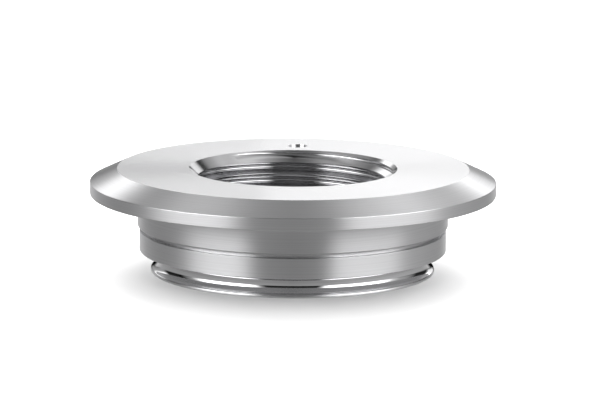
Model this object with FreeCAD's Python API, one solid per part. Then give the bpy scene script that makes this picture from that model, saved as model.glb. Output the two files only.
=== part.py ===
import FreeCAD, Part
import math
import os

# Hygienic process adapter, turned from one bar of stainless steel.
# Millimetres, +Z up, the axis on Z, the origin in the plane of the bottom face.
# The flange faces up. The spigot below it goes into a pipeline housing.
# The back of the adapter is towards +Y.

# Flange
flange_radius = 33.0
flange_thickness = 4.1
rim_width = 2.0
top_face_radius = 28.6
rim_edge_break = 0.12

# Spigot, from the flange down
upper_land_radius = 25.25
upper_land_length = 5.35
upper_land_chamfer = 0.25
flange_root_fillet = 0.2
land_groove_width = 0.6
land_groove_depth = 0.75
lower_land_radius = 24.95
lower_land_length = 3.3
lower_land_edge_break = 0.1

# Seal groove, round in section for a 3 mm seal ring, and the thin polished lip below it
seal_groove_width = 3.0
seal_groove_root_radius = 21.9
seal_groove_rounding = 1.45
lip_radius = 23.1
lip_height = 0.45
lip_top_slope = 26.0
lip_top_rounding = 0.3
lip_bottom_rounding = 0.1

# Internal parallel pipe thread, right handed, 55 degrees between its flanks
thread_major_radius = 16.62
thread_pitch = 2.309
thread_depth = 1.479
thread_root_rounding = 0.3
half_flank_angle = 27.5
entry_radius = 16.9
entry_half_angle = 45.0
first_root_depth_at_back = 0.41

# Bore below the thread
relief_radius = 16.95
relief_width = 3.0
relief_fillet = 0.4
seat_height = 2.9
seat_outer_radius = 14.6
opening_radius = 13.0
opening_edge_break = 0.15

# Leak hole, from the top face at the back down into the relief
leak_hole_radius = 1.6
leak_hole_offset = 21.0
leak_hole_break_in = 0.4

# Spare length at each end of the blank, turned away once the thread is cut
spare_length = 6.0

# Heights of the shoulders, added up from the bottom face
lower_land_bottom = lip_height + seal_groove_width
lower_land_top = lower_land_bottom + lower_land_length
upper_land_bottom = lower_land_top + land_groove_width
flange_underside = upper_land_bottom + upper_land_length
top = flange_underside + flange_thickness
rim_top = flange_underside + rim_width

# Radii and heights of the bore
thread_minor_radius = thread_major_radius - thread_depth
relief_top = seat_height + relief_width
land_groove_root = lower_land_radius - land_groove_depth


def point(radius, height):
    """A point of the half section, which lies in the XZ plane."""
    return FreeCAD.Vector(radius, 0, height)


def rounded_corner(before, corner, after, rounding):
    """The ends and the middle of the arc that rounds one corner of an outline."""
    back = (before - corner).normalize()
    ahead = (after - corner).normalize()
    half_angle = back.getAngle(ahead) / 2
    setback = rounding / math.tan(half_angle)
    to_centre = (back + ahead).normalize()
    centre = corner + to_centre * (rounding / math.sin(half_angle))
    return corner + back * setback, centre - to_centre * rounding, corner + ahead * setback


def rounded_face(corners):
    """A flat face inside an outline of (radius, height, rounding) corners."""
    points = [point(radius, height) for radius, height, rounding in corners]
    edges = []
    last_end = None
    first_start = None
    for i, (radius, height, rounding) in enumerate(corners):
        before = points[i - 1]
        after = points[(i + 1) % len(points)]
        if rounding > 0:
            start, middle, end = rounded_corner(before, points[i], after, rounding)
        else:
            start = end = points[i]
        if last_end is not None and last_end.distanceToPoint(start) > 1e-6:
            edges.append(Part.makeLine(last_end, start))
        if rounding > 0:
            edges.append(Part.Arc(start, middle, end).toShape())
        if first_start is None:
            first_start = start
        last_end = end
    edges.append(Part.makeLine(last_end, first_start))
    return Part.Face(Part.Wire(edges))


def flange_corners():
    """The flange, from its flat top face down over the cone and the rim to the spigot."""
    return [
        (top_face_radius, top, rim_edge_break),
        (flange_radius, rim_top, rim_edge_break),
        (flange_radius, flange_underside, rim_edge_break),
        (upper_land_radius, flange_underside, flange_root_fillet),
    ]


def spigot_corners():
    """The two lands that centre the adapter, with the narrow groove between them."""
    return [
        (upper_land_radius, upper_land_bottom + upper_land_chamfer, 0),
        (upper_land_radius - upper_land_chamfer, upper_land_bottom, 0),
        (land_groove_root, upper_land_bottom, 0),
        (land_groove_root, lower_land_top, 0),
        (lower_land_radius, lower_land_top, lower_land_edge_break),
        (lower_land_radius, lower_land_bottom, lower_land_edge_break),
    ]


def lip_corners():
    """The round seal groove, and the lip whose top slopes down out of it."""
    groove_foot = lip_height + (lip_radius - seal_groove_root_radius) * math.tan(math.radians(lip_top_slope))
    root_height = lower_land_bottom - groove_foot
    fullest_rounding = root_height / (1 + math.tan(math.radians(45 - lip_top_slope / 2)))
    groove_rounding = min(seal_groove_rounding, 0.98 * fullest_rounding)
    return [
        (seal_groove_root_radius, lower_land_bottom, groove_rounding),
        (seal_groove_root_radius, groove_foot, groove_rounding),
        (lip_radius, lip_height, lip_top_rounding),
        (lip_radius, 0, lip_bottom_rounding),
    ]


def end_chamfer_corners():
    """The chamfers at the two ends of the bore, carried on inwards into the open bore."""
    open_radius = opening_radius - opening_edge_break
    opening_mouth = opening_radius + opening_edge_break
    entry_slope = math.tan(math.radians(entry_half_angle))
    return [
        (opening_mouth, 0, 0),
        (open_radius, opening_mouth - open_radius, 0),
        (open_radius, top - (entry_radius - open_radius) / entry_slope, 0),
        (entry_radius, top, 0),
    ]


def bore_corners():
    """The bore with its ends left long, from below the opening up through the thread."""
    low_end = -spare_length
    high_end = top + spare_length
    blank_radius = flange_radius + spare_length
    return [
        (opening_radius, low_end, 0),
        (opening_radius, seat_height - (seat_outer_radius - opening_radius), 0),
        (seat_outer_radius, seat_height, 0),
        (relief_radius, seat_height, relief_fillet),
        (relief_radius, relief_top, 0),
        (thread_minor_radius, relief_top, 0),
        (thread_minor_radius, high_end, 0),
        (blank_radius, high_end, 0),
        (blank_radius, low_end, 0),
    ]


def turned(corners, turn):
    """A solid turned about the axis, through this many degrees, from the corners of its half section."""
    axis = FreeCAD.Vector(0, 0, 1)
    return rounded_face(corners).revolve(FreeCAD.Vector(0, 0, 0), axis, turn)


def thread_groove():
    """The helical groove of the thread, from inside the relief up into the spare length."""
    flank = math.tan(math.radians(half_flank_angle))
    crest_half_width = thread_pitch / 4 - (thread_depth / 2) * flank
    mouth_half_width = thread_pitch / 2 - crest_half_width / 2
    mouth_radius = thread_minor_radius - (crest_half_width / 2) / flank
    root_half_width = crest_half_width
    fullest_rounding = root_half_width * math.tan(math.radians(45 + half_flank_angle / 2))
    root_rounding = min(thread_root_rounding, 0.95 * fullest_rounding)
    low = seat_height + relief_width / 2
    section = rounded_face([
        (mouth_radius, low - mouth_half_width, 0),
        (thread_major_radius, low - root_half_width, root_rounding),
        (thread_major_radius, low + root_half_width, root_rounding),
        (mouth_radius, low + mouth_half_width, 0),
    ])
    rise = top + spare_length / 2 - low
    path = Part.makeHelix(thread_pitch, rise, thread_minor_radius)
    path.translate(FreeCAD.Vector(0, 0, low))
    groove = Part.Wire(path.Edges).makePipeShell([section.OuterWire], True, True)
    turns_to_root = (top - first_root_depth_at_back - low) / thread_pitch
    groove.rotate(FreeCAD.Vector(0, 0, 0), FreeCAD.Vector(0, 0, 1), 90 - 360 * turns_to_root)
    return groove


def leak_hole():
    """A drilled hole that leans inwards, so that it opens into the relief behind the thread."""
    mouth = FreeCAD.Vector(0, leak_hole_offset, top)
    tip_offset = relief_radius + leak_hole_radius - leak_hole_break_in
    tip = FreeCAD.Vector(0, tip_offset, seat_height + relief_width / 2)
    direction = (tip - mouth).normalize()
    above = mouth - direction * leak_hole_radius
    return Part.makeCylinder(leak_hole_radius, (tip - above).Length, above, direction)


def adapter_body():
    """The finished adapter as one solid: the thread is cut first, then the outside is turned.

    The outside is turned as two halves, so that no face goes round more than half a turn of the thread.
    """
    threaded_tube = turned(bore_corners(), 360).cut(thread_groove())
    outline = flange_corners() + spigot_corners() + lip_corners() + end_chamfer_corners()
    back, front = [threaded_tube.common(turned(outline, turn)) for turn in (180, -180)]
    return back.fuse(front).cut(leak_hole())


os.makedirs("parts", exist_ok=True)
adapter_body().exportStep("parts/adapter_body.step")
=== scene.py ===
import math

import bmesh
import bpy
from bpy.props import FloatProperty, FloatVectorProperty, IntProperty, PointerProperty
from mathutils import Matrix, Vector


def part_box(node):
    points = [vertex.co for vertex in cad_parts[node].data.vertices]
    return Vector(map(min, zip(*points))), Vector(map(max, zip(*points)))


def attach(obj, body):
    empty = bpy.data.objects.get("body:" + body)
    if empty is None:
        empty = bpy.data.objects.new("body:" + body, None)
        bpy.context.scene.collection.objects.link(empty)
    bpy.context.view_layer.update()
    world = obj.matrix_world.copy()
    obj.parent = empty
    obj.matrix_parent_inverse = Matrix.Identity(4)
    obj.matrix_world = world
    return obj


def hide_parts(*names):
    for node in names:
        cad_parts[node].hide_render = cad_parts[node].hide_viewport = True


bl_info = {
    "name": "Hygienic Process Adapter",
    "version": (1, 0, 0),
    "blender": (4, 5, 0),
    "location": "View3D > Sidebar > Adapter",
    "description": "Models a turned steel process adapter and the studio that it stands in",
    "category": "Add Mesh",
}

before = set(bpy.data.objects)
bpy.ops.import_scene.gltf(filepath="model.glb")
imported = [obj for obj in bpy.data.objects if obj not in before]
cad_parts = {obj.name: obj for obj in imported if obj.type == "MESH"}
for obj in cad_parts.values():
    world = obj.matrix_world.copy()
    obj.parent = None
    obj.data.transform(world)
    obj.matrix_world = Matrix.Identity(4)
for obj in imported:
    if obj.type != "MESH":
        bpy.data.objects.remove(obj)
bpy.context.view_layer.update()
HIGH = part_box("adapter_body")[1]

# Lengths in metres below which two places are the same, in a cut and after a spin
TINY = 1e-7
MERGE_DISTANCE = 10 * TINY

# Facets in the rounding of a corner, for roundings over each radius, the largest first
ARC_FACETS = ((0.001, 16), (0.00025, 8), (0.0, 4))
LEAK_HOLE_FACETS = 72

# The flat ring round the entry that joins the spun outside to the thread
ENTRY_RING_WIDTH = 0.0004

# A hollow rounding takes at most these shares of the room that it has
FULLEST_GROOVE = 0.98
FULLEST_ROOT = 0.95

# Limits of the finishes: how far out the bore reaches past its entry, how near the middle of a facet
# lies to the chamfer that it belongs to, and how far in the turned edge of the lip reaches
BORE_MARGIN = 0.00005
CHAMFER_MARGIN = 0.00001
LIP_EDGE_DEPTH = 0.00025

# Edges that turn by more than this stay sharp in the shading
SHARP_ANGLE = math.radians(33)


def length(name, default, description):
    """A length property in metres."""
    return FloatProperty(
        name=name,
        description=description,
        default=default,
        min=0.0,
        precision=5,
        subtype="DISTANCE",
        unit="LENGTH",
    )


def angle(name, degrees, description):
    """An angle property, given here in degrees."""
    return FloatProperty(
        name=name,
        description=description,
        default=math.radians(degrees),
        subtype="ANGLE",
        unit="ROTATION",
    )


def share(name, default, description):
    """A plain number from nought to one."""
    return FloatProperty(
        name=name,
        description=description,
        default=default,
        min=0.0,
        max=1.0,
        subtype="FACTOR",
    )


def colour(name, default, description):
    """A colour property."""
    return FloatVectorProperty(
        name=name,
        description=description,
        default=default,
        size=3,
        min=0.0,
        max=1.0,
        subtype="COLOR",
    )


class AdapterSizes(bpy.types.PropertyGroup):
    """The sizes of the turned adapter."""

    height: length("Height", HIGH[2], "From the bottom face to the top face")
    flange_radius: length("Flange Radius", HIGH[0], "Outside radius of the flange")
    flange_thickness: length("Flange Thickness", 0.0041, "From the top face to the flange's underside")
    rim_width: length("Rim Width", 0.002, "Height of the upright band round the flange")
    top_face_radius: length("Top Face Radius", 0.0286, "Where the flat top turns down into the cone")
    edge_break: length("Edge Break", 0.00012, "Rounding of the flange's edges")
    upper_land_radius: length("Upper Land Radius", 0.02525, "Radius of the land under the flange")
    upper_land_length: length("Upper Land Length", 0.00535, "Height of the land under the flange")
    land_chamfer: length("Land Chamfer", 0.00025, "Chamfer at the lower end of the upper land")
    root_fillet: length("Root Fillet", 0.0002, "Fillet between the flange and the upper land")
    land_groove_width: length("Land Groove Width", 0.0006, "Height of the narrow groove between the lands")
    land_groove_depth: length("Land Groove Depth", 0.00075, "Depth of the narrow groove between the lands")
    lower_land_radius: length("Lower Land Radius", 0.02495, "Radius of the lower land")
    lower_land_length: length("Lower Land Length", 0.0033, "Height of the lower land")
    land_edge_break: length("Land Edge Break", 0.0001, "Rounding of the lower land's edges")
    seal_groove_width: length("Seal Groove Width", 0.003, "Height of the groove that takes the seal")
    seal_groove_radius: length("Seal Groove Radius", 0.0219, "Radius of the seal groove's floor")
    seal_groove_rounding: length("Seal Groove Rounding", 0.00145, "Hollow rounding of the seal groove")
    lip_radius: length("Lip Radius", 0.0231, "Radius of the lip that holds the seal")
    lip_height: length("Lip Height", 0.00045, "Height of the lip's edge")
    lip_slope: angle("Lip Slope", 26.0, "Slope of the lip's top, out of the seal groove")
    lip_top_rounding: length("Lip Top Rounding", 0.0003, "Rounding of the lip's upper edge")
    lip_bottom_rounding: length("Lip Bottom Rounding", 0.0001, "Rounding of the lip's lower edge")
    opening_radius: length("Opening Radius", 0.013, "Radius of the opening in the bottom face")
    opening_edge_break: length("Opening Edge Break", 0.00015, "Chamfer round the opening")
    seat_radius: length("Seat Radius", 0.0146, "Outer radius of the conical seat")
    seat_height: length("Seat Height", 0.0029, "Height of the seat's upper edge")
    relief_radius: length("Relief Radius", 0.01695, "Radius of the relief below the thread")
    relief_width: length("Relief Width", 0.003, "Height of the relief below the thread")
    relief_fillet: length("Relief Fillet", 0.0004, "Fillet at the foot of the relief")
    thread_radius: length("Thread Radius", 0.01662, "Radius at the roots of the internal thread")
    thread_depth: length("Thread Depth", 0.001479, "Depth of the thread between crest and root")
    thread_pitch: length("Thread Pitch", 0.002309, "Rise of the thread in one turn")
    thread_flank: angle("Thread Flank", 27.5, "Slope of each flank against a flat plane")
    root_rounding: length("Root Rounding", 0.0003, "Rounding of the thread's roots")
    crest_rounding: length("Crest Rounding", 0.00006, "Rounding of the thread's crests")
    first_root_depth: length("First Root Depth", 0.00041, "Depth of the first root under the top at the back")
    entry_radius: length("Entry Radius", 0.0169, "Radius of the entry chamfer at the top face")
    entry_angle: angle("Entry Angle", 45.0, "Slope of the entry chamfer against the axis")
    leak_hole_radius: length("Leak Hole Radius", 0.0016, "Radius of the leak hole")
    leak_hole_offset: length("Leak Hole Offset", 0.021, "Distance of the leak hole from the axis")
    leak_hole_break_in: length("Leak Hole Break-in", 0.0004, "How far the leak hole cuts into the relief")
    steps: IntProperty(
        name="Steps",
        description="Facets in one turn",
        default=288,
        min=24,
        max=720,
    )


class AdapterFinish(bpy.types.PropertyGroup):
    """The colours and the polish of the steel."""

    steel: colour("Steel", (0.74, 0.74, 0.75), "Colour of clean stainless steel")
    bore_steel: colour("Bore Steel", (0.72, 0.72, 0.73), "Colour of the chamfer, the relief and the opening")
    # Painted shade: the thread's colour is darker than the rest of the same steel, to darken the inside of
    # the bore
    shaded_thread_steel: colour("Shaded Thread Steel", (0.61, 0.61, 0.62), "Colour of the thread")
    turned_roughness: share("Turned Roughness", 0.32, "Roughness of the flange, the lands and the lip's edge")
    polished_roughness: share("Polished Roughness", 0.06, "Roughness of the seal groove, lip and bottom face")
    bored_roughness: share("Bored Roughness", 0.13, "Roughness of the thread and the bore")
    faced_roughness: share("Faced Roughness", 0.23, "Roughness of the flat top face")
    faced_scatter: share("Faced Scatter", 0.17, "Share of the light that the top face scatters evenly")
    turned_spread: share("Turned Spread", 0.92, "How far turned faces spread light across their marks")
    polished_spread: share("Polished Spread", 0.3, "How far polished faces spread light across their marks")
    bored_spread: share("Bored Spread", 0.6, "How far the thread and the bore spread light")
    faced_spread: share("Faced Spread", 0.85, "How far the top face spreads light across its marks")


class AdapterStage(bpy.types.PropertyGroup):
    """The camera's place and the light of the studio."""

    look_down: angle("Look Down", 10.148, "How steeply the camera looks down")
    turn: angle("Turn", 2.0, "How far the camera stands round from the front")
    roll: angle("Roll", 0.3926, "Tilt of the camera about its own line of sight")
    distance: length("Distance", 0.7103, "From the camera to the middle of the top face")
    aim_right: length("Aim Right", 0.000413, "How far right of the top face's middle the camera aims")
    aim_down: length("Aim Down", 0.006341, "How far below the top face's middle the camera aims")
    focal_length: FloatProperty(
        name="Focal Length",
        description="Focal length of the camera in millimetres",
        default=266.38,
        min=1.0,
        subtype="DISTANCE_CAMERA",
        unit="CAMERA",
    )
    floor_colour: colour("Floor", (0.82, 0.82, 0.82), "Colour of the pale floor")
    even_light: FloatProperty(
        name="Even Light",
        description="Strength of the even white light on the floor",
        default=1.43,
        min=0.0,
    )


GROUPS = {
    "adapter_sizes": AdapterSizes,
    "adapter_finish": AdapterFinish,
    "adapter_stage": AdapterStage,
}


def new_object(name, bm):
    """Puts a bmesh into the scene as an object, and frees it."""
    mesh = bpy.data.meshes.new(name)
    bm.to_mesh(mesh)
    bm.free()
    thing = bpy.data.objects.new(name, mesh)
    bpy.context.collection.objects.link(thing)
    return thing


def section_line(corners):
    """A bmesh with one line of edges in the XZ plane, through (radius, height, rounding) corners."""
    bm = bmesh.new()
    points = [Vector((radius, 0.0, height)) for radius, height, rounding in corners]
    verts = [bm.verts.new(point) for point in points]
    for pair in zip(verts, verts[1:]):
        bm.edges.new(pair)
    for i, (radius, height, rounding) in enumerate(corners):
        if rounding > 0:
            bend = (points[i] - points[i - 1]).angle(points[i + 1] - points[i])
            bmesh.ops.bevel(
                bm,
                geom=[verts[i]],
                offset=rounding * math.tan(bend / 2),
                offset_type="OFFSET",
                affect="VERTICES",
                segments=next(facets for over, facets in ARC_FACETS if rounding > over),
                profile=0.5,
                material=-1,
            )
    bmesh.ops.remove_doubles(bm, verts=bm.verts[:], dist=TINY)
    return bm


def spin_round(bm, steps, rise=0.0):
    """Spins a section line once round the axis: up a helix that rises by this much, or into a closed ring."""
    bmesh.ops.spin(
        bm,
        geom=bm.verts[:] + bm.edges[:],
        cent=(0, 0, 0),
        axis=(0, 0, 1),
        dvec=(0, 0, rise / steps),
        angle=math.tau,
        steps=steps,
        use_merge=rise == 0.0,
    )


def relief_top(s):
    """Height at which the relief ends and the thread starts."""
    return s.seat_height + s.relief_width


def outside_corners(s):
    """The half section from the top face down the outside, under the lip and up the bore to the relief."""
    underside = s.height - s.flange_thickness
    upper_land_bottom = underside - s.upper_land_length
    lower_land_top = upper_land_bottom - s.land_groove_width
    lower_land_bottom = lower_land_top - s.lower_land_length
    land_groove_floor = s.lower_land_radius - s.land_groove_depth
    groove_foot = s.lip_height + (s.lip_radius - s.seal_groove_radius) * math.tan(s.lip_slope)
    fullest = (lower_land_bottom - groove_foot) / (1 + math.tan(math.radians(45) - s.lip_slope / 2))
    groove_rounding = min(s.seal_groove_rounding, FULLEST_GROOVE * fullest)
    return [
        (s.entry_radius + ENTRY_RING_WIDTH, s.height, 0),
        (s.top_face_radius, s.height, s.edge_break),
        (s.flange_radius, underside + s.rim_width, s.edge_break),
        (s.flange_radius, underside, s.edge_break),
        (s.upper_land_radius, underside, s.root_fillet),
        (s.upper_land_radius, upper_land_bottom + s.land_chamfer, 0),
        (s.upper_land_radius - s.land_chamfer, upper_land_bottom, 0),
        (land_groove_floor, upper_land_bottom, 0),
        (land_groove_floor, lower_land_top, 0),
        (s.lower_land_radius, lower_land_top, s.land_edge_break),
        (s.lower_land_radius, lower_land_bottom, s.land_edge_break),
        (s.seal_groove_radius, lower_land_bottom, groove_rounding),
        (s.seal_groove_radius, groove_foot, groove_rounding),
        (s.lip_radius, s.lip_height, s.lip_top_rounding),
        (s.lip_radius, 0.0, s.lip_bottom_rounding),
        (s.opening_radius + s.opening_edge_break, 0.0, 0),
        (s.opening_radius, s.opening_edge_break, 0),
        (s.opening_radius, s.seat_height - (s.seat_radius - s.opening_radius), 0),
        (s.seat_radius, s.seat_height, 0),
        (s.relief_radius, s.seat_height, s.relief_fillet),
        (s.relief_radius, relief_top(s), 0),
    ]


def spun_outside(s):
    """A bmesh of the outside and the lower bore, spun round the axis."""
    bm = section_line(outside_corners(s))
    spin_round(bm, s.steps)
    return bm


def thread_corners(s, low, pitches):
    """The thread's section over some pitches, from the middle of one crest to the middle of another."""
    flank_rise = s.thread_depth * math.tan(s.thread_flank)
    flat = s.thread_pitch / 2 - flank_rise
    fullest = flat / 2 * math.tan(math.radians(45) + s.thread_flank / 2)
    root_rounding = min(s.root_rounding, FULLEST_ROOT * fullest)
    crest = s.thread_radius - s.thread_depth
    corners = [(crest, low, 0)]
    for i in range(pitches):
        foot = low + i * s.thread_pitch
        corners += [
            (crest, foot + flat / 2, s.crest_rounding),
            (s.thread_radius, foot + flat / 2 + flank_rise, root_rounding),
            (s.thread_radius, foot + 3 * flat / 2 + flank_rise, root_rounding),
            (crest, foot + s.thread_pitch - flat / 2, s.crest_rounding),
            (crest, foot + s.thread_pitch, 0),
        ]
    return corners


def entry_chamfer_radius(s, height):
    """Radius of the entry chamfer at a height."""
    return s.entry_radius - (s.height - height) * math.tan(s.entry_angle)


def cut_entry_chamfer(bm, s):
    """Turns the thread back to the entry chamfer, with an edge where the two meet.

    The chamfer's cone is first laid flat as the plane of height nought, so that a flat cut runs along it.
    """
    slope = math.tan(s.entry_angle)
    for vert in bm.verts:
        radius = vert.co.xy.length
        vert.co.z = radius - entry_chamfer_radius(s, vert.co.z)
    geom = bm.verts[:] + bm.edges[:] + bm.faces[:]
    bmesh.ops.bisect_plane(bm, geom=geom, dist=TINY, plane_co=(0, 0, 0), plane_no=(0, 0, 1))
    for vert in bm.verts:
        radius = vert.co.xy.length
        vert.co.z = s.height - (s.entry_radius - radius + vert.co.z) / slope
        chamfer = entry_chamfer_radius(s, vert.co.z)
        if radius < chamfer:
            vert.co.x *= chamfer / radius
            vert.co.y *= chamfer / radius


def spun_thread(s):
    """A bmesh of the thread: its section spun up a helix, then cut off at the relief and at the top face."""
    # The section stands a quarter turn before the back, and a crest lies half a pitch under its root
    under_root = s.height - s.first_root_depth - (1 / 4 + 1 / 2) * s.thread_pitch
    pitches_down = math.ceil((under_root + s.thread_pitch - relief_top(s)) / s.thread_pitch)
    low = under_root - pitches_down * s.thread_pitch
    pitches = math.floor((s.height - low) / s.thread_pitch) + 1
    bm = section_line(thread_corners(s, low, pitches))
    spin_round(bm, s.steps, s.thread_pitch)
    bmesh.ops.remove_doubles(bm, verts=bm.verts[:], dist=MERGE_DISTANCE)
    cut_entry_chamfer(bm, s)
    for height, keep_below in ((s.height, True), (relief_top(s), False)):
        bmesh.ops.bisect_plane(
            bm,
            geom=bm.verts[:] + bm.edges[:] + bm.faces[:],
            dist=TINY,
            plane_co=(0, 0, height),
            plane_no=(0, 0, 1),
            clear_outer=keep_below,
            clear_inner=not keep_below,
        )
    return bm


def close_ring(bm, height):
    """Fills the flat ring between the two open loops at one height."""
    loops = [
        edge
        for edge in bm.edges
        if edge.is_boundary and all(abs(vert.co.z - height) < MERGE_DISTANCE for vert in edge.verts)
    ]
    bmesh.ops.triangle_fill(bm, use_beauty=True, edges=loops, normal=(0, 0, 1))


def take_in(bm, other):
    """Adds another bmesh to this one and frees it."""
    mesh = bpy.data.meshes.new("passing")
    other.to_mesh(mesh)
    other.free()
    bm.from_mesh(mesh)
    bpy.data.meshes.remove(mesh)


def whole_adapter(s):
    """The closed adapter as an object, before its leak hole is drilled."""
    bm = spun_outside(s)
    take_in(bm, spun_thread(s))
    close_ring(bm, s.height)
    close_ring(bm, relief_top(s))
    bmesh.ops.recalc_face_normals(bm, faces=bm.faces[:])
    open_edges = [edge for edge in bm.edges if not edge.is_contiguous]
    if open_edges or bm.calc_volume(signed=True) <= 0:
        raise RuntimeError(f"the adapter isn't closed: {len(open_edges)} open edges")
    return new_object("turned_adapter", bm)


def leak_drill(s):
    """A drill the size of the leak hole, leaning in from the top face towards the relief."""
    mouth = Vector((0.0, s.leak_hole_offset, s.height))
    tip_offset = s.relief_radius + s.leak_hole_radius - s.leak_hole_break_in
    tip = Vector((0.0, tip_offset, s.seat_height + s.relief_width / 2))
    way = (tip - mouth).normalized()
    start = mouth - way * s.leak_hole_radius
    depth = (tip - start).length
    place = Matrix.Translation((start + tip) / 2) @ way.to_track_quat("Z", "Y").to_matrix().to_4x4()
    bm = bmesh.new()
    bmesh.ops.create_cone(
        bm,
        cap_ends=True,
        segments=LEAK_HOLE_FACETS,
        radius1=s.leak_hole_radius,
        radius2=s.leak_hole_radius,
        depth=depth,
        matrix=place,
    )
    return new_object("leak_drill", bm)


def drill_out(body, drill):
    """Cuts the drill out of the body for good and takes the drill away."""
    hole = body.modifiers.new("Leak hole", "BOOLEAN")
    hole.operation = "DIFFERENCE"
    hole.solver = "EXACT"
    hole.object = drill
    drilled = bpy.data.meshes.new_from_object(body.evaluated_get(bpy.context.evaluated_depsgraph_get()))
    body.modifiers.clear()
    undrilled, tool = body.data, drill.data
    body.data = drilled
    bpy.data.objects.remove(drill)
    bpy.data.meshes.remove(tool)
    bpy.data.meshes.remove(undrilled)
    drilled.name = body.name


class NodeBench:
    """Adds nodes to a tree and wires them up, left to right."""

    NODE_SPACING = 180

    def __init__(self, tree):
        self.tree = tree
        self.across = 0

    def node(self, kind, **settings):
        """Adds a node of this kind to the right of the last one."""
        node = self.tree.nodes.new(kind)
        node.location = (self.across, 0)
        self.across += self.NODE_SPACING
        for name, value in settings.items():
            setattr(node, name, value)
        return node

    def feed(self, socket, value):
        """Gives a socket a link, if the value is another node's socket, or else a plain value."""
        if isinstance(value, bpy.types.NodeSocket):
            self.tree.links.new(value, socket)
        else:
            socket.default_value = value

    def maths(self, operation, *values):
        """The result of one sum on one or two values."""
        node = self.node("ShaderNodeMath", operation=operation)
        for socket, value in zip(node.inputs, values):
            self.feed(socket, value)
        return node.outputs[0]

    def span(self, value, low, high, to_low=0.0, to_high=1.0):
        """Stretches a value from one range over another, and keeps it inside."""
        node = self.node("ShaderNodeMapRange")
        for socket, given in zip(node.inputs, (value, low, high, to_low, to_high)):
            self.feed(socket, given)
        return node.outputs[0]

    def ramp(self, value, stops):
        """A grey ramp through (place, grey) stops."""
        node = self.node("ShaderNodeValToRGB")
        points = node.color_ramp.elements
        points[0].position, points[1].position = stops[0][0], stops[-1][0]
        for place, _ in stops[1:-1]:
            points.new(place)
        for point, (_, grey) in zip(points, stops):
            point.color = (grey, grey, grey, 1.0)
        self.feed(node.inputs[0], value)
        return node.outputs[0]

    def axes(self, place):
        """The three coordinates of a place, one socket each."""
        node = self.node("ShaderNodeSeparateXYZ")
        self.feed(node.inputs[0], place)
        return node.outputs


# Tool marks and unevenness of machined steel: the part of the noise that counts, how dark the darkest
# mark is as a share of the metal's colour, and the clouds that the roughness follows
NOISE_RANGE = (0.3, 0.7)
DARKEST_MARK = 0.95
MARK_DETAIL = 1.0
CLOUD_SCALE = 160.0
CLOUD_DETAIL = 4.0

# A quarter of a turn from the tangent, so that light spreads across the tool marks and not along them
ACROSS_MARKS = 0.25


def steel_material(name, metal, scatter, roughness, spread, along, mark_scale, unevenness):
    """Machined steel.

    scatter is the share of light that it scatters evenly, and spread how far it smears a reflection
    across the tool marks. along gives the weights of radius and height in the number that the marks
    follow, and unevenness is how far the roughness strays.
    """
    material = bpy.data.materials.new(name)
    material.use_nodes = True
    tree = material.node_tree
    tree.nodes.clear()
    bench = NodeBench(tree)
    place = bench.node("ShaderNodeTexCoord").outputs["Object"]
    x, y, z = bench.axes(place)
    squares = bench.maths("ADD", bench.maths("MULTIPLY", x, x), bench.maths("MULTIPLY", y, y))
    radius = bench.maths("SQRT", squares)
    across = bench.maths("MULTIPLY", radius, along[0])
    path = bench.maths("ADD", across, bench.maths("MULTIPLY", z, along[1]))
    marks = bench.node("ShaderNodeTexNoise", noise_dimensions="1D")
    bench.feed(marks.inputs["W"], path)
    marks.inputs["Scale"].default_value = mark_scale
    marks.inputs["Detail"].default_value = MARK_DETAIL
    shader = bench.node("ShaderNodeBsdfPrincipled")
    shader.inputs["Metallic"].default_value = 1.0 - scatter
    shader.inputs["Roughness"].default_value = roughness
    shader.inputs["Anisotropic"].default_value = spread
    shader.inputs["Anisotropic Rotation"].default_value = ACROSS_MARKS
    if unevenness > 0:
        cloud = bench.node("ShaderNodeTexNoise")
        bench.feed(cloud.inputs["Vector"], place)
        cloud.inputs["Scale"].default_value = CLOUD_SCALE
        cloud.inputs["Detail"].default_value = CLOUD_DETAIL
        worn = bench.span(cloud.outputs[0], *NOISE_RANGE, roughness - unevenness, roughness + unevenness)
        bench.feed(shader.inputs["Roughness"], worn)
    tint = bench.node("ShaderNodeMix", data_type="RGBA")
    bench.feed(tint.inputs["Factor"], bench.span(marks.outputs[0], *NOISE_RANGE))
    dark, light = tint.inputs[6], tint.inputs[7]
    dark.default_value = (*(DARKEST_MARK * c for c in metal), 1.0)
    light.default_value = (*metal, 1.0)
    tree.links.new(tint.outputs[2], shader.inputs["Base Color"])
    tangent = bench.node("ShaderNodeTangent", direction_type="RADIAL", axis="Z")
    tree.links.new(tangent.outputs[0], shader.inputs["Tangent"])
    out = bench.node("ShaderNodeOutputMaterial")
    tree.links.new(shader.outputs[0], out.inputs["Surface"])
    return material


# The finishes, in the order of their material slots
TURNED, POLISHED, BORED, FACED, THREADED = range(5)


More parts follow.
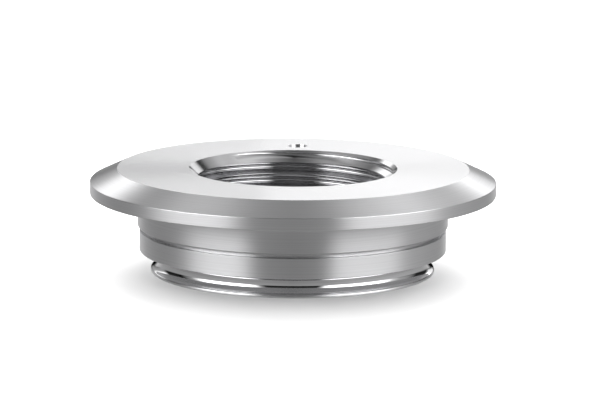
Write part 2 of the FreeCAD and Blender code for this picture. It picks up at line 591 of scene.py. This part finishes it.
def steel_finishes(finish):
    """The five materials of the adapter, in the order of their slots."""
    return [
        steel_material(
            "Turned steel",
            metal=finish.steel,
            scatter=0.0,
            roughness=finish.turned_roughness,
            spread=finish.turned_spread,
            along=(1.0, -1.3),
            mark_scale=2700.0,
            unevenness=0.0,
        ),
        steel_material(
            "Polished steel",
            metal=finish.steel,
            scatter=0.0,
            roughness=finish.polished_roughness,
            spread=finish.polished_spread,
            along=(1.0, 1.3),
            mark_scale=4000.0,
            unevenness=0.02,
        ),
        steel_material(
            "Bored steel",
            metal=finish.bore_steel,
            scatter=0.0,
            roughness=finish.bored_roughness,
            spread=finish.bored_spread,
            along=(1.0, -0.7),
            mark_scale=4000.0,
            unevenness=0.02,
        ),
        steel_material(
            "Faced steel",
            metal=finish.steel,
            scatter=finish.faced_scatter,
            roughness=finish.faced_roughness,
            spread=finish.faced_spread,
            along=(1.0, 0.0),
            mark_scale=3000.0,
            unevenness=0.01,
        ),
        # Painted shade: the thread takes a darker copy of the steel, which darkens the inside of the bore
        steel_material(
            "Threaded steel in painted shade",
            metal=finish.shaded_thread_steel,
            scatter=0.0,
            roughness=finish.bored_roughness,
            spread=finish.bored_spread,
            along=(1.0, 0.0),
            mark_scale=4000.0,
            unevenness=0.02,
        ),
    ]


def finish_zone(s, radius, height):
    """Which finish a spot of the surface has."""
    if height > s.height - TINY:
        return FACED
    if radius < s.entry_radius + BORE_MARGIN and height > 0.0:
        on_chamfer = abs(radius - entry_chamfer_radius(s, height)) < CHAMFER_MARGIN
        return BORED if on_chamfer or height < relief_top(s) + TINY else THREADED
    lower_land_bottom = s.lip_height + s.seal_groove_width
    on_lip_edge = radius > s.lip_radius - LIP_EDGE_DEPTH and height < s.lip_height
    if height < lower_land_bottom + TINY and not on_lip_edge:
        return POLISHED
    return TURNED


class ADAPTER_OT_body(bpy.types.Operator):
    """Models the turned and threaded adapter, with its leak hole and its five finishes"""

    bl_idname = "adapter.body"
    bl_label = "Turned Adapter"
    bl_options = {"REGISTER", "UNDO"}

    def execute(self, context):
        s = context.scene.adapter_sizes
        body = whole_adapter(s)
        drill_out(body, leak_drill(s))
        mesh = body.data
        mesh.materials.clear()
        for material in steel_finishes(context.scene.adapter_finish):
            mesh.materials.append(material)
        for polygon in mesh.polygons:
            polygon.use_smooth = True
            spot = polygon.center
            polygon.material_index = finish_zone(s, spot.xy.length, spot.z)
        mesh.set_sharp_from_angle(angle=SHARP_ANGLE)
        smoother = body.modifiers.new("Weighted normals", "WEIGHTED_NORMAL")
        smoother.keep_sharp = True
        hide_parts("adapter_body")
        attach(body, "root")
        return {"FINISHED"}


# What the steel mirrors, each as two lists of (degrees, value). The first list is its brightness by the
# angle round from the camera, to the camera's right, where 180 is straight behind the adapter. The second
# is the share of that brightness by the angle above the horizon.
MIRRORED = {
    "table": (
        [
            (-180, 0.0), (-156, 0.0), (-146, 0.5), (-128, 0.44), (-112, 0.44), (-90, 0.5), (-56, 0.6),
            (-28, 0.5), (0, 0.42), (28, 0.5), (56, 0.68), (90, 0.66), (112, 0.6), (128, 0.54), (144, 0.5),
            (156, 0.0), (180, 0.0),
        ],
        [(-90, 0.7), (-25, 0.85), (-2, 1.0), (5, 1.0), (9, 0.0)],
    ),
    "table behind": (
        [
            (-180, 0.0), (-168, 0.0), (-161, 0.8), (-156, 0.7), (-146, 0.0), (144, 0.0), (156, 0.6),
            (160, 0.75), (167, 0.0), (180, 0.0),
        ],
        [(-90, 0.75), (-25, 0.95), (-2, 1.0), (3, 1.0), (7, 0.0)],
    ),
    "floor far behind": (
        [(-180, 1.0), (-167, 1.0), (-163, 0.0), (161, 0.0), (166, 1.0), (180, 1.0)],
        [(-90, 0.75), (-25, 0.95), (-10, 1.0), (-8, 0.1), (-6, 0.0)],
    ),
    "soft boxes": (
        [
            (-110, 0.0), (-105, 0.2), (-96, 0.5), (-89, 1.6), (-82, 3.6), (-74, 5.4), (-41, 5.4),
            (-34, 2.6), (-28, 0.5), (-23, 0.02), (22, 0.02), (25, 0.5), (29, 2.0), (36, 4.7), (82, 4.6),
            (88, 2.8), (96, 1.1), (104, 0.6), (118, 0.4), (127, 0.15), (131, 0.0),
        ],
        [(3, 0.0), (6, 0.15), (9, 0.5), (13, 1.0), (39, 1.0), (45, 0.25), (50, 0.0)],
    ),
    "left wall": (
        [(-180, 0.5), (-168, 1.0), (-142, 1.0), (-134, 0.03), (-104, 0.0), (168, 0.0), (180, 0.5)],
        [(5, 0.0), (8, 0.41), (14, 0.53), (18, 1.9), (27, 2.2), (33, 0.4), (38, 0.0)],
    ),
    "right wall": (
        [(-180, 0.5), (-168, 0.0), (104, 0.0), (152, 0.03), (159, 1.0), (168, 1.0), (180, 0.5)],
        [(5, 0.0), (8, 0.64), (14, 0.86), (18, 2.4), (25, 1.8), (30, 0.4), (34, 0.0)],
    ),
    "upper left wall": (
        [(-180, 0.5), (-168, 1.0), (-140, 1.0), (-120, 0.0), (168, 0.0), (180, 0.5)],
        [
            (28, 0.0), (33, 0.2), (40, 0.22), (50, 0.42), (56, 0.78), (60, 0.78), (65, 0.36), (72, 0.3),
            (80, 0.0),
        ],
    ),
    "upper right wall": (
        [(-180, 0.5), (-168, 0.0), (120, 0.0), (140, 1.0), (168, 1.0), (180, 0.5)],
        [
            (24, 0.0), (30, 0.4), (38, 0.72), (44, 0.85), (50, 1.1), (54, 1.1), (58, 0.7), (63, 0.3),
            (70, 0.28), (78, 0.0),
        ],
    ),
    "ceiling": (
        [
            (-180, 0.0), (-136, 0.1), (-122, 0.35), (-109, 0.45), (-95, 0.52), (-80, 0.48), (-50, 0.3),
            (0, 0.2), (50, 0.4), (80, 0.6), (92, 1.0), (105, 1.0), (122, 0.6), (136, 0.25), (150, 0.0),
            (180, 0.0),
        ],
        [(26, 0.0), (44, 1.0), (70, 1.0), (80, 0.6), (90, 0.6)],
    ),
}


def studio_world(stage):
    """The studio that the steel mirrors, and even white light for the floor."""
    world = bpy.data.worlds.new("Studio")
    world.use_nodes = True
    tree = world.node_tree
    tree.nodes.clear()
    bench = NodeBench(tree)
    way = bench.node("ShaderNodeTexCoord").outputs["Generated"]
    facing = bench.node("ShaderNodeMapping", vector_type="POINT")
    bench.feed(facing.inputs["Vector"], way)
    facing.inputs["Rotation"].default_value = (0.0, 0.0, -stage.turn)
    x, y, z = bench.axes(facing.outputs[0])
    around = bench.span(bench.maths("ARCTAN2", x, bench.maths("MULTIPLY", y, -1.0)), -math.pi, math.pi)
    height = bench.span(bench.maths("ARCSINE", z), -math.pi / 2, math.pi / 2)
    lit = 0.0
    for by_azimuth, by_elevation in MIRRORED.values():
        brightness = bench.ramp(around, [(azimuth / 360 + 0.5, value) for azimuth, value in by_azimuth])
        part = bench.ramp(height, [(elevation / 180 + 0.5, value) for elevation, value in by_elevation])
        lit = bench.maths("ADD", lit, bench.maths("MULTIPLY", brightness, part))
    shine = bench.node("ShaderNodeBackground")
    bench.feed(shine.inputs["Strength"], lit)
    dome = bench.node("ShaderNodeBackground")
    dome.inputs["Color"].default_value = (1.0, 1.0, 1.0, 1.0)
    dome.inputs["Strength"].default_value = stage.even_light
    ray = bench.node("ShaderNodeLightPath")
    pick = bench.node("ShaderNodeMixShader")
    bench.feed(pick.inputs[0], ray.outputs["Is Glossy Ray"])
    tree.links.new(dome.outputs[0], pick.inputs[1])
    tree.links.new(shine.outputs[0], pick.inputs[2])
    out = bench.node("ShaderNodeOutputWorld")
    tree.links.new(pick.outputs[0], out.inputs["Surface"])
    bpy.context.scene.world = world


# The floor's half width, and how far it lies below the adapter, so that the two faces don't flicker
FLOOR_REACH = 3.0
FLOOR_GAP = 0.00001
FLOOR_ROUGHNESS = 0.9


def pale_floor(stage):
    """A wide pale floor under the adapter, which the steel doesn't mirror."""
    bm = bmesh.new()
    below = Matrix.Translation((0.0, 0.0, -FLOOR_GAP))
    bmesh.ops.create_grid(bm, x_segments=1, y_segments=1, size=FLOOR_REACH, matrix=below)
    floor = new_object("floor", bm)
    material = bpy.data.materials.new("Pale floor")
    material.use_nodes = True
    shader = material.node_tree.nodes["Principled BSDF"]
    shader.inputs["Base Color"].default_value = (*stage.floor_colour, 1.0)
    shader.inputs["Roughness"].default_value = FLOOR_ROUGHNESS
    shader.inputs["Specular IOR Level"].default_value = 0.0
    floor.data.materials.append(material)
    floor.visible_glossy = False


def lamp(name, size, watts, place, aim=(0.0, 0.0, 0.0), in_steel=False):
    """A soft area light. It lights either the floor or the steel, so that each can be set for itself."""
    data = bpy.data.lights.new(name, "AREA")
    data.shape = "RECTANGLE"
    data.size, data.size_y = size
    data.energy = watts
    box = bpy.data.objects.new(name, data)
    box.location = place
    box.rotation_euler = (Vector(aim) - Vector(place)).to_track_quat("-Z", "Y").to_euler()
    box.visible_camera = False
    box.visible_glossy = in_steel
    box.visible_diffuse = not in_steel
    bpy.context.collection.objects.link(box)


def soft_lamps():
    """Soft light on the floor from behind and from both sides, and a card that whitens the flange's right."""
    lamp("Behind", size=(1.1, 0.6), watts=15.4, place=(0.0, 0.9, 0.55))
    for name, side in (("Left behind", -1), ("Right behind", 1)):
        lamp(name, size=(0.8, 0.6), watts=5.4, place=(side * 0.53, 0.75, 0.47))
    card_place, card_aim = (0.07, 0.35, 0.11), (0.07, 0.0, 0.02)
    lamp("Card", size=(0.18, 0.11), watts=0.028, place=card_place, aim=card_aim, in_steel=True)


# The camera's sensor in millimetres, and the nearest and farthest that it sees in metres
SENSOR_WIDTH = 36.0
NEAREST = 0.01
FARTHEST = 20.0


def across_and_up(line):
    """The level direction to the right of a line of sight, and the one at right angles to both."""
    right = line.cross(Vector((0.0, 0.0, 1.0))).normalized()
    return right, right.cross(line)


def photo_camera(stage, top):
    """The camera at the photograph's viewing angle."""
    line = Vector((-math.sin(stage.turn), math.cos(stage.turn), 0.0)) * math.cos(stage.look_down)
    line.z = -math.sin(stage.look_down)
    right, up = across_and_up(line)
    middle = Vector((0.0, 0.0, top))
    eye = middle - line * stage.distance
    target = middle + right * stage.aim_right - up * stage.aim_down
    line = (target - eye).normalized()
    right, up = across_and_up(line)
    tilt = Matrix.Rotation(stage.roll, 3, -line)
    facing = Matrix((tilt @ right, tilt @ up, -line)).transposed()
    data = bpy.data.cameras.new("Camera")
    data.sensor_width = SENSOR_WIDTH
    data.sensor_fit = "HORIZONTAL"
    data.lens = stage.focal_length
    data.clip_start = NEAREST
    data.clip_end = FARTHEST
    camera = bpy.data.objects.new("Camera", data)
    camera.matrix_world = Matrix.Translation(eye) @ facing.to_4x4()
    bpy.context.collection.objects.link(camera)
    bpy.context.scene.camera = camera


class ADAPTER_OT_stage(bpy.types.Operator):
    """Sets up the pale floor, the soft studio light and the camera"""

    bl_idname = "adapter.stage"
    bl_label = "Studio"
    bl_options = {"REGISTER", "UNDO"}

    def execute(self, context):
        stage = context.scene.adapter_stage
        pale_floor(stage)
        soft_lamps()
        studio_world(stage)
        photo_camera(stage, context.scene.adapter_sizes.height)
        context.scene.view_settings.view_transform = "Standard"
        context.scene.view_settings.look = "None"
        return {"FINISHED"}


class ADAPTER_PT_panel(bpy.types.Panel):
    """Lists the adapter's operators and sizes"""

    bl_idname = "ADAPTER_PT_panel"
    bl_label = "Process Adapter"
    bl_space_type = "VIEW_3D"
    bl_region_type = "UI"
    bl_category = "Adapter"

    def draw(self, context):
        layout = self.layout
        layout.operator("adapter.body")
        layout.operator("adapter.stage")
        for group in GROUPS:
            values = getattr(context.scene, group)
            box = layout.box()
            for name in values.bl_rna.properties.keys():
                if name not in ("rna_type", "name"):
                    box.prop(values, name)


CLASSES = (*GROUPS.values(), ADAPTER_OT_body, ADAPTER_OT_stage, ADAPTER_PT_panel)


def register():
    for cls in CLASSES:
        bpy.utils.register_class(cls)
    for name, group in GROUPS.items():
        setattr(bpy.types.Scene, name, PointerProperty(type=group))


def unregister():
    for name in GROUPS:
        delattr(bpy.types.Scene, name)
    for cls in reversed(CLASSES):
        bpy.utils.unregister_class(cls)


def main():
    register()
    bpy.ops.adapter.body()
    bpy.ops.adapter.stage()


if __name__ == "__main__":
    main()
